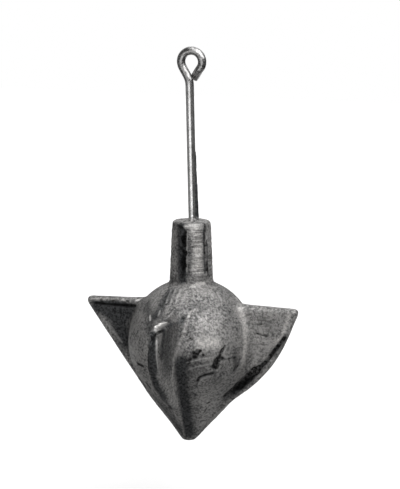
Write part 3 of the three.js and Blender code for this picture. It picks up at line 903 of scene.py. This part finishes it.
# Wear on the sides that the photograph doesn't show: how many, their lengths, widths and lift in millimetres,
# and what they stain.
HIDDEN_WEAR = [
    (16, (1.2, 3.5), (0.5, 0.8), -0.08, {"blackening_and_shade": 0.8}),
    (4, (1, 2.2), (0.9, 1.3), -0.2, {"blackening_and_shade": 1.1}),
    (30, (1.5, 4.5), (0.6, 0.9), 0.03, {"bare_and_highlight": 0.5}),
    (18, (4, 11), (4, 8), 0, {"tarnish_and_shade": 0.6}),
    (16, (3, 8), (2, 5), 0, {"rub_and_highlight": 0.35}),
]
HIDDEN_WEAR_SEED = 21
HIDDEN_TURN = (70, 290)  # degrees from the camera, round the wire
HIDDEN_FACING = (0.1, -0.15)  # where wear begins and is full, by how far the surface faces the camera
WEAR_START = 60 * MM  # from the wire, outside the fins
WEAR_ASIDE = 20 * MM
NECK_STREAK_TURNS = (118, 160, 203, 247)
NECK_STREAK = ((4.2 * MM, -1 * MM), (4.6 * MM, -11 * MM))  # each end, from the wire and the neck's top
NECK_STREAK_WIDTH = 2.2 * MM


def struck_place(skin, chance):
    """A chance point and normal of the surface on the hidden sides."""
    while True:
        turn = math.radians(chance.uniform(*HIDDEN_TURN))
        way = towards(CAMERA_AZIMUTH + turn, 0)
        aside = Vector((way.y, -way.x, 0)) * chance.uniform(-WEAR_ASIDE, WEAR_ASIDE)
        height = Vector((0, 0, chance.uniform(cad_box[0][2], NECK_TOP_Z)))
        place, normal = skin.tree.ray_cast(way * WEAR_START + aside + height, -way)[:2]
        if place is not None:
            return np.array(place), np.array(normal)


def wear_hidden_sides(skin):
    """Nicks, pits, scratches, tarnish and rubbed places on the hidden sides, in tones like the shown sides'
    marks, painted shade and painted highlights.
    """
    chance = np.random.default_rng(HIDDEN_WEAR_SEED)
    hidden = np.clip((HIDDEN_FACING[0] - skin.facing) / (HIDDEN_FACING[0] - HIDDEN_FACING[1]), 0, 1)
    for count, lengths, widths, lift, stains in HIDDEN_WEAR:
        for _ in range(count):
            start, normal = struck_place(skin, chance)
            way = np.cross(normal, chance.normal(size=3))
            end = start + way / np.linalg.norm(way) * chance.uniform(*lengths) * MM
            line = skin.line([start, end], chance.uniform(*widths) * MM) * hidden
            skin.lift += line * lift * MM
            for name, amount in stains.items():
                skin.stain(name, line * amount)
    for turn in NECK_STREAK_TURNS:
        way = towards(CAMERA_AZIMUTH + math.radians(turn), 0)
        ends = [np.array(way * out + Vector((0, 0, NECK_TOP_Z + z))) for out, z in NECK_STREAK]
        skin.stain("tarnish_and_shade", skin.line(ends, NECK_STREAK_WIDTH) * hidden)


def mark_casting(piece):
    """Finds the arrises and hollows, and lays on the marks, the painted shade and highlights, the wear, the
    wire's lip and the turned bands.
    """
    skin = CastSkin(piece)
    out = skin.place - skin.eased(skin.place, EDGE_SPREAD)
    proud = np.einsum("ij,ij->i", out, skin.normal) / EDGE_HEIGHT
    proud = skin.eased(proud[:, None], EDGE_EASE)[:, 0]
    skin.stain("arris", np.clip(proud, 0, 1))
    skin.stain("hollow", np.clip(-proud, 0, 1))
    skin.stain("blackening_and_shade", np.zeros(len(proud)))
    skin.stain("bare_and_highlight", np.zeros(len(proud)))
    for pixels, width, lift, black, bright in chain(*MARKS.values()):
        line = skin.stroke(pixels, width * MM)
        skin.lift += line * lift * MM
        skin.stain("blackening_and_shade", line * black)
        skin.stain("bare_and_highlight", line * bright)
    # Painted shade and painted highlights, laid on by place.
    for name, places in (("tarnish_and_shade", PAINTED_SHADE), ("rub_and_highlight", PAINTED_HIGHLIGHTS)):
        for pixels, width, depth in chain(*places.values()):
            skin.stain(name, skin.stroke(pixels, width * MM) * depth)
    wear_hidden_sides(skin)
    height = skin.place[:, 2]
    from_wire = np.hypot(skin.place[:, 0] - STEM_NECK_X, skin.place[:, 1]) - WIRE_RADIUS
    at_neck_top = np.abs(height - NECK_TOP_Z) < LIP_WIDTH
    skin.lift += at_neck_top * LIP_HEIGHT * np.exp(-np.maximum(from_wire, 0) / LIP_WIDTH)
    # The lead above the neck's top, the wire's lip and the flash, is darkened throughout.
    skin.stain("tarnish_and_shade", np.clip((height - NECK_TOP_Z) / MM, 0, 1))
    above_ball = np.clip((height - BALL_CENTRE_Z - NECK_START) / MM, 0, 1)
    on_nose = np.clip((BALL_CENTRE_Z - NOSE_START - height) / NOSE_FADE, 0, 1)
    skin.stain("turned", above_ball + NOSE_TURNING * on_nose)
    skin.keep()


def casting_tree(material):
    """Gives a casting its cast skin: uneven faces, sand-like grain and rings left by the turned mould."""
    tree, source, result, identifiers = new_tree("cast_skin", [
        ("Unevenness", "NodeSocketFloat"),
        ("Unevenness size", "NodeSocketFloat"),
        ("Grain", "NodeSocketFloat"),
        ("Grain size", "NodeSocketFloat"),
        ("Ring height", "NodeSocketFloat"),
        ("Ring pitch", "NodeSocketFloat"),
        ("Seed", "NodeSocketFloat"),
    ])
    w = Relief(tree)
    size = source.outputs
    place = w.node("GeometryNodeInputPosition").outputs[0]
    uneven = w.noise(place, size["Unevenness size"], 2, 0.5, size["Seed"])
    grain = w.noise(place, size["Grain size"], 1, 0.5, size["Seed"])
    rings = w.noise(w.stretch(place, RING_STRETCH), size["Ring pitch"], 2, 0.6, size["Seed"])
    turned = w.node("GeometryNodeInputNamedAttribute", {"Name": "turned"}, data_type="FLOAT").outputs[0]
    height = w.math("ADD", w.centred(uneven, size["Unevenness"]), w.centred(grain, size["Grain"]))
    height = w.math("ADD", height, w.centred(rings, w.math("MULTIPLY", turned, size["Ring height"])))
    tree.links.new(w.dressed(size["Geometry"], height, material), result.inputs[0])
    return tree, identifiers


def make_casting(material):
    casting = add_object("lead_casting", closed_casting())
    even_skin(casting)
    add_flash(casting)
    mark_casting(casting)
    tree, identifiers = casting_tree(material)
    return realised(casting, tree, identifiers, {
        "Unevenness": 0.22 * MM,
        "Unevenness size": 7 * MM,
        "Grain": 0.04 * MM,
        "Grain size": 0.7 * MM,
        "Ring height": 0.32 * MM,
        "Ring pitch": 0.6 * MM,
        "Seed": 11.0,
    })


# Finishes
def new_group(name, inputs, outputs):
    """A shader group with number inputs, a vector to read, and number outputs."""
    group = bpy.data.node_groups.new(name, "ShaderNodeTree")
    group.interface.new_socket("Vector", in_out="INPUT", socket_type="NodeSocketVector")
    for label in inputs:
        group.interface.new_socket(label, in_out="INPUT", socket_type="NodeSocketFloat")
    for label in outputs:
        group.interface.new_socket(label, in_out="OUTPUT", socket_type="NodeSocketFloat")
    return group, group.nodes.new("NodeGroupInput").outputs, group.nodes.new("NodeGroupOutput").inputs


def tarnish_group():
    """Cloudy patches of tarnish with a fine fleck over them."""
    group, given, made = new_group("tarnish", ["Patch size", "Fleck size", "Seed"], ["Patches", "Flecks"])
    w = Wiring(group)
    patches = w.noise(given["Vector"], given["Patch size"], 4, 0.6, given["Seed"])
    flecks = w.noise(given["Vector"], given["Fleck size"], 5, 0.8, given["Seed"])
    group.links.new(w.ramp(patches, 0.35, 0.65), made["Patches"])
    group.links.new(w.ramp(flecks, 0.41, 0.59), made["Flecks"])
    return group


def scratch_group():
    """Fine scratches that run across the given vector's third axis."""
    group, given, made = new_group("fine_scratches", ["Spacing", "Share", "Seed"], ["Scratches"])
    w = Wiring(group)
    lines = w.noise(w.stretch(given["Vector"], (0.07, 0.07, 1)), given["Spacing"], 2, 0.6, given["Seed"])
    breaks = w.noise(given["Vector"], w.math("MULTIPLY", given["Spacing"], 12.0), 2, 0.5, given["Seed"])
    edge = w.math("SUBTRACT", 1.0, given["Share"])
    sharp = w.math("DIVIDE", w.math("SUBTRACT", lines, edge), 0.08, clamp=True)
    group.links.new(w.math("MULTIPLY", sharp, w.ramp(breaks, 0.4, 0.6)), made["Scratches"])
    return group


class Finish(Wiring):
    """A new metal's node tree, with its shader and the piece's own coordinates."""

    def __init__(self, name):
        self.material = bpy.data.materials.new(name)
        self.material.use_nodes = True
        super().__init__(self.material.node_tree)
        self.shader = self.tree.nodes["Principled BSDF"]
        self.place = self.node("ShaderNodeTexCoord").outputs["Object"]

    def group(self, tree, **inputs):
        made = self.node("ShaderNodeGroup", node_tree=tree)
        self.feed(made.inputs["Vector"], self.place)
        for label, value in inputs.items():
            self.feed(made.inputs[label.replace("_", " ")], value)
        return made.outputs

    def attribute(self, name):
        return self.node("ShaderNodeAttribute", attribute_name=name).outputs["Fac"]

    def mix(self, share, first, second):
        made = self.node("ShaderNodeMix", data_type="RGBA")
        self.feed(made.inputs[0], share)
        self.feed(made.inputs[6], first)
        self.feed(made.inputs[7], second)
        return made.outputs[2]

    def bump(self, height, distance, strength=1.0):
        made = self.node("ShaderNodeBump", {"Height": height, "Strength": strength, "Distance": distance})
        self.feed(self.shader.inputs["Normal"], made.outputs[0])


def grey(level, warmth=0.0):
    return (level * (1 + warmth), level, level * (1 - warmth), 1)


# Lead: its tones, the sizes of what it shows, and how strongly it shows it
DULL_LEAD = grey(0.07, -0.02)
CLEAN_LEAD = grey(0.23, 0.02)
FLECKED_LEAD = grey(0.52, 0.025)
SPECKED_LEAD = grey(0.04, -0.01)
# Tarnish, and painted shade laid on by place
TARNISH_AND_SHADE_LEAD = (grey(0.02, -0.05), grey(0.095, -0.02))
# Rubbed places, and painted highlights laid on by place
RUB_AND_HIGHLIGHT_LEAD = grey(0.75, 0.03)
# Bare lead, and painted highlights on the burr, the front fin's arris and the neck
BARE_AND_HIGHLIGHT_LEAD = grey(0.75, 0.02)
BLACK_LEAD = grey(0.004)
LEAD_PATCH_SIZE = 2.6 * MM
LEAD_FLECK_SIZE = 0.5 * MM
LEAD_SPECK_SIZE = 0.7 * MM
LEAD_SPECK_EDGE = (0.52, 0.64)
TURNED_LINE_SPACING = 0.4 * MM
TURNED_CUT_SPACING = 0.45 * MM
FLECK_SHARE = 0.75
SPECK_SHARE = 0.38
WORN_SHARE = 0.3
HOLLOW_SHARE = 0.35
CUT_SHARE = 0.55
MARK_SHARE = 0.7
MARK_CORE = (0.5, 0.75)  # a mark turns quite black between these depths
MARK_RAGGED = (0.45, 1.25)  # a mark's depth on plain metal and on flecks
# Painted highlights are broken up by the flecks as rubbed places are.
RUB_AND_HIGHLIGHT_BROKEN = (0.45, 1.0)  # and a rubbed place's
# Turned lines also show brighter on painted highlights.
LINE_SHARE = 0.15  # turned lines on plain metal, beside those on rubbed metal
LEAD_METALLIC = 0.85
LEAD_SPECULAR = 0.2
LEAD_ROUGHNESS = (0.66, 0.52)  # on plain metal and on flecks
BLACK_ROUGHNESS = 0.3  # added where the lead is black
LEAD_BUMP = 0.032 * MM


def lead_brightness(lead, flecks, lines, turned_clean_and_unshaded, clean_and_unshaded):
    """Where the lead is bare or painted with highlights: its worn arrises, bright marks, painted highlights
    and turned lines.
    """
    worn = lead.math("MULTIPLY", lead.attribute("arris"), lead.ramp(flecks, 0.2, 0.8))
    worn = lead.math("MULTIPLY", worn, clean_and_unshaded)
    bare_and_highlight = lead.math("MAXIMUM", lead.math("MULTIPLY", worn, WORN_SHARE), lead.attribute("bare_and_highlight"))
    burnish_and_highlight = lead.math("ADD", lead.attribute("rub_and_highlight"), LINE_SHARE)
    burnish_and_highlight = lead.math("MULTIPLY", turned_clean_and_unshaded, burnish_and_highlight)
    return lead.math("MAXIMUM", bare_and_highlight, lead.math("MULTIPLY", lines, burnish_and_highlight))


def lead_blackness(lead, flecks, cuts, turned_clean_and_unshaded):
    """Where the lead is black: its hollows, turned cuts and black marks, some of them painted shade."""
    black = lead.math("MULTIPLY", lead.attribute("hollow"), HOLLOW_SHARE)
    cut = lead.math("MULTIPLY", cuts, lead.math("MULTIPLY", turned_clean_and_unshaded, CUT_SHARE))
    black = lead.math("MAXIMUM", black, cut)
    ragged = lead.ramp(flecks, 0.0, 0.9, *MARK_RAGGED)
    marked = lead.math("MULTIPLY", lead.attribute("blackening_and_shade"), ragged, clamp=True)
    black = lead.math("MAXIMUM", black, lead.math("MULTIPLY", marked, MARK_SHARE))
    return lead.math("MAXIMUM", black, lead.ramp(marked, *MARK_CORE))


def lead_material(tarnish, scratches):
    """Cast lead: dull, blotched with tarnish, black in its hollows and bright on its worn edges, with painted
    shade and painted highlights laid on by place.
    """
    lead = Finish("cast_lead")
    cloud = lead.group(tarnish, Patch_size=LEAD_PATCH_SIZE, Fleck_size=LEAD_FLECK_SIZE, Seed=2.0)
    flecks = cloud["Flecks"]
    lines = lead.group(scratches, Spacing=TURNED_LINE_SPACING, Share=0.5, Seed=5.0)["Scratches"]
    cuts = lead.group(scratches, Spacing=TURNED_CUT_SPACING, Share=0.5, Seed=6.0)["Scratches"]
    specks = lead.ramp(lead.noise(lead.place, LEAD_SPECK_SIZE, 5, 0.85, 8.0), *LEAD_SPECK_EDGE)
    turned = lead.attribute("turned")
    tarnish_and_shade = lead.attribute("tarnish_and_shade")
    clean_and_unshaded = lead.math("SUBTRACT", 1.0, tarnish_and_shade)
    turned_clean_and_unshaded = lead.math("MULTIPLY", turned, clean_and_unshaded)
    black = lead_blackness(lead, flecks, cuts, turned_clean_and_unshaded)
    rub_and_highlight = lead.math("MULTIPLY", lead.attribute("rub_and_highlight"), lead.ramp(flecks, 0, 1, *RUB_AND_HIGHLIGHT_BROKEN))
    body = lead.mix(cloud["Patches"], DULL_LEAD, CLEAN_LEAD)
    body = lead.mix(lead.math("MULTIPLY", flecks, FLECK_SHARE), body, FLECKED_LEAD)
    body = lead.mix(lead.math("MULTIPLY", specks, SPECK_SHARE), body, SPECKED_LEAD)
    # Painted shade and tarnish darken the lead.
    body = lead.mix(tarnish_and_shade, body, lead.mix(flecks, *TARNISH_AND_SHADE_LEAD))
    # Painted highlights and rubbed places brighten it.
    body = lead.mix(rub_and_highlight, body, RUB_AND_HIGHLIGHT_LEAD)
    body = lead.mix(lead_brightness(lead, flecks, lines, turned_clean_and_unshaded, clean_and_unshaded), body, BARE_AND_HIGHLIGHT_LEAD)
    body = lead.mix(black, body, BLACK_LEAD)
    lead.feed(lead.shader.inputs["Base Color"], body)
    lead.shader.inputs["Metallic"].default_value = LEAD_METALLIC
    lead.shader.inputs["Specular IOR Level"].default_value = LEAD_SPECULAR
    dull = lead.ramp(flecks, 0.0, 1.0, *LEAD_ROUGHNESS)
    rough = lead.math("ADD", dull, lead.math("MULTIPLY", black, BLACK_ROUGHNESS), clamp=True)
    lead.feed(lead.shader.inputs["Roughness"], rough)
    lead.bump(lead.math("ADD", flecks, lead.math("MULTIPLY", lines, turned)), LEAD_BUMP)
    return lead.material


# Steel: its tones, the sizes of what it shows, and how strongly it shows it
DULL_STEEL = grey(0.62, 0.01)
CLEAN_STEEL = grey(0.92, 0.005)
STREAKED_STEEL = grey(0.95)
EYE_STEEL = (grey(0.16, 0.01), grey(0.46, 0.01))
NICKED_STEEL = grey(0.09, 0.05)
STEEL_PATCH_SIZE = 1.1 * MM
STEEL_FLECK_SIZE = 0.45 * MM
STEEL_LINE_SPACING = 0.16 * MM
STREAK_STRETCH = (1, 1, 0.03)  # streaks run along the stem
STREAK_EDGE = (0.4, 0.75)
STREAK_SHARE = 0.4
NICK_SHARE = 0.5
DULLED_FROM = (-6 * MM, -3.5 * MM)  # heights between which the eye's dullness begins
STEEL_ROUGHNESS = (0.12, 0.24)
EYE_ROUGHNESS = 0.06  # added at the eye
STEEL_BUMP = 0.004 * MM


def steel_material(tarnish, scratches):
    """Drawn steel wire: streaked along its length and a little stained."""
    steel = Finish("drawn_steel")
    stain = steel.group(tarnish, Patch_size=STEEL_PATCH_SIZE, Fleck_size=STEEL_FLECK_SIZE, Seed=7.0)
    nicks = steel.group(scratches, Spacing=STEEL_LINE_SPACING, Share=0.3, Seed=9.0)["Scratches"]
    streaks = steel.noise(steel.stretch(steel.place, STREAK_STRETCH), STEEL_LINE_SPACING, 3, 0.6, 4.0)
    high = steel.node("ShaderNodeSeparateXYZ", {"Vector": steel.place}).outputs["Z"]
    at_eye = steel.ramp(high, *DULLED_FROM)
    body = steel.mix(stain["Patches"], DULL_STEEL, CLEAN_STEEL)
    body = steel.mix(steel.ramp(streaks, *STREAK_EDGE, 0, STREAK_SHARE), body, STREAKED_STEEL)
    body = steel.mix(at_eye, body, steel.mix(stain["Flecks"], *EYE_STEEL))
    body = steel.mix(steel.math("MULTIPLY", nicks, NICK_SHARE), body, NICKED_STEEL)
    steel.feed(steel.shader.inputs["Base Color"], body)
    steel.shader.inputs["Metallic"].default_value = 1
    dull = steel.ramp(stain["Flecks"], 0, 1, *STEEL_ROUGHNESS)
    rough = steel.math("ADD", dull, steel.math("MULTIPLY", at_eye, EYE_ROUGHNESS))
    steel.feed(steel.shader.inputs["Roughness"], rough)
    steel.bump(steel.math("ADD", streaks, stain["Flecks"]), STEEL_BUMP)
    return steel.material


def hand_over(piece, node):
    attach(piece, "root")
    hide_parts(node)


bpy.context.scene.view_settings.view_transform = "Standard"
make_camera()
light_studio()
lay_floor()
tarnish = tarnish_group()
scratches = scratch_group()
hand_over(make_casting(lead_material(tarnish, scratches)), "lead_body")
hand_over(make_wire(steel_material(tarnish, scratches)), "eye_wire")
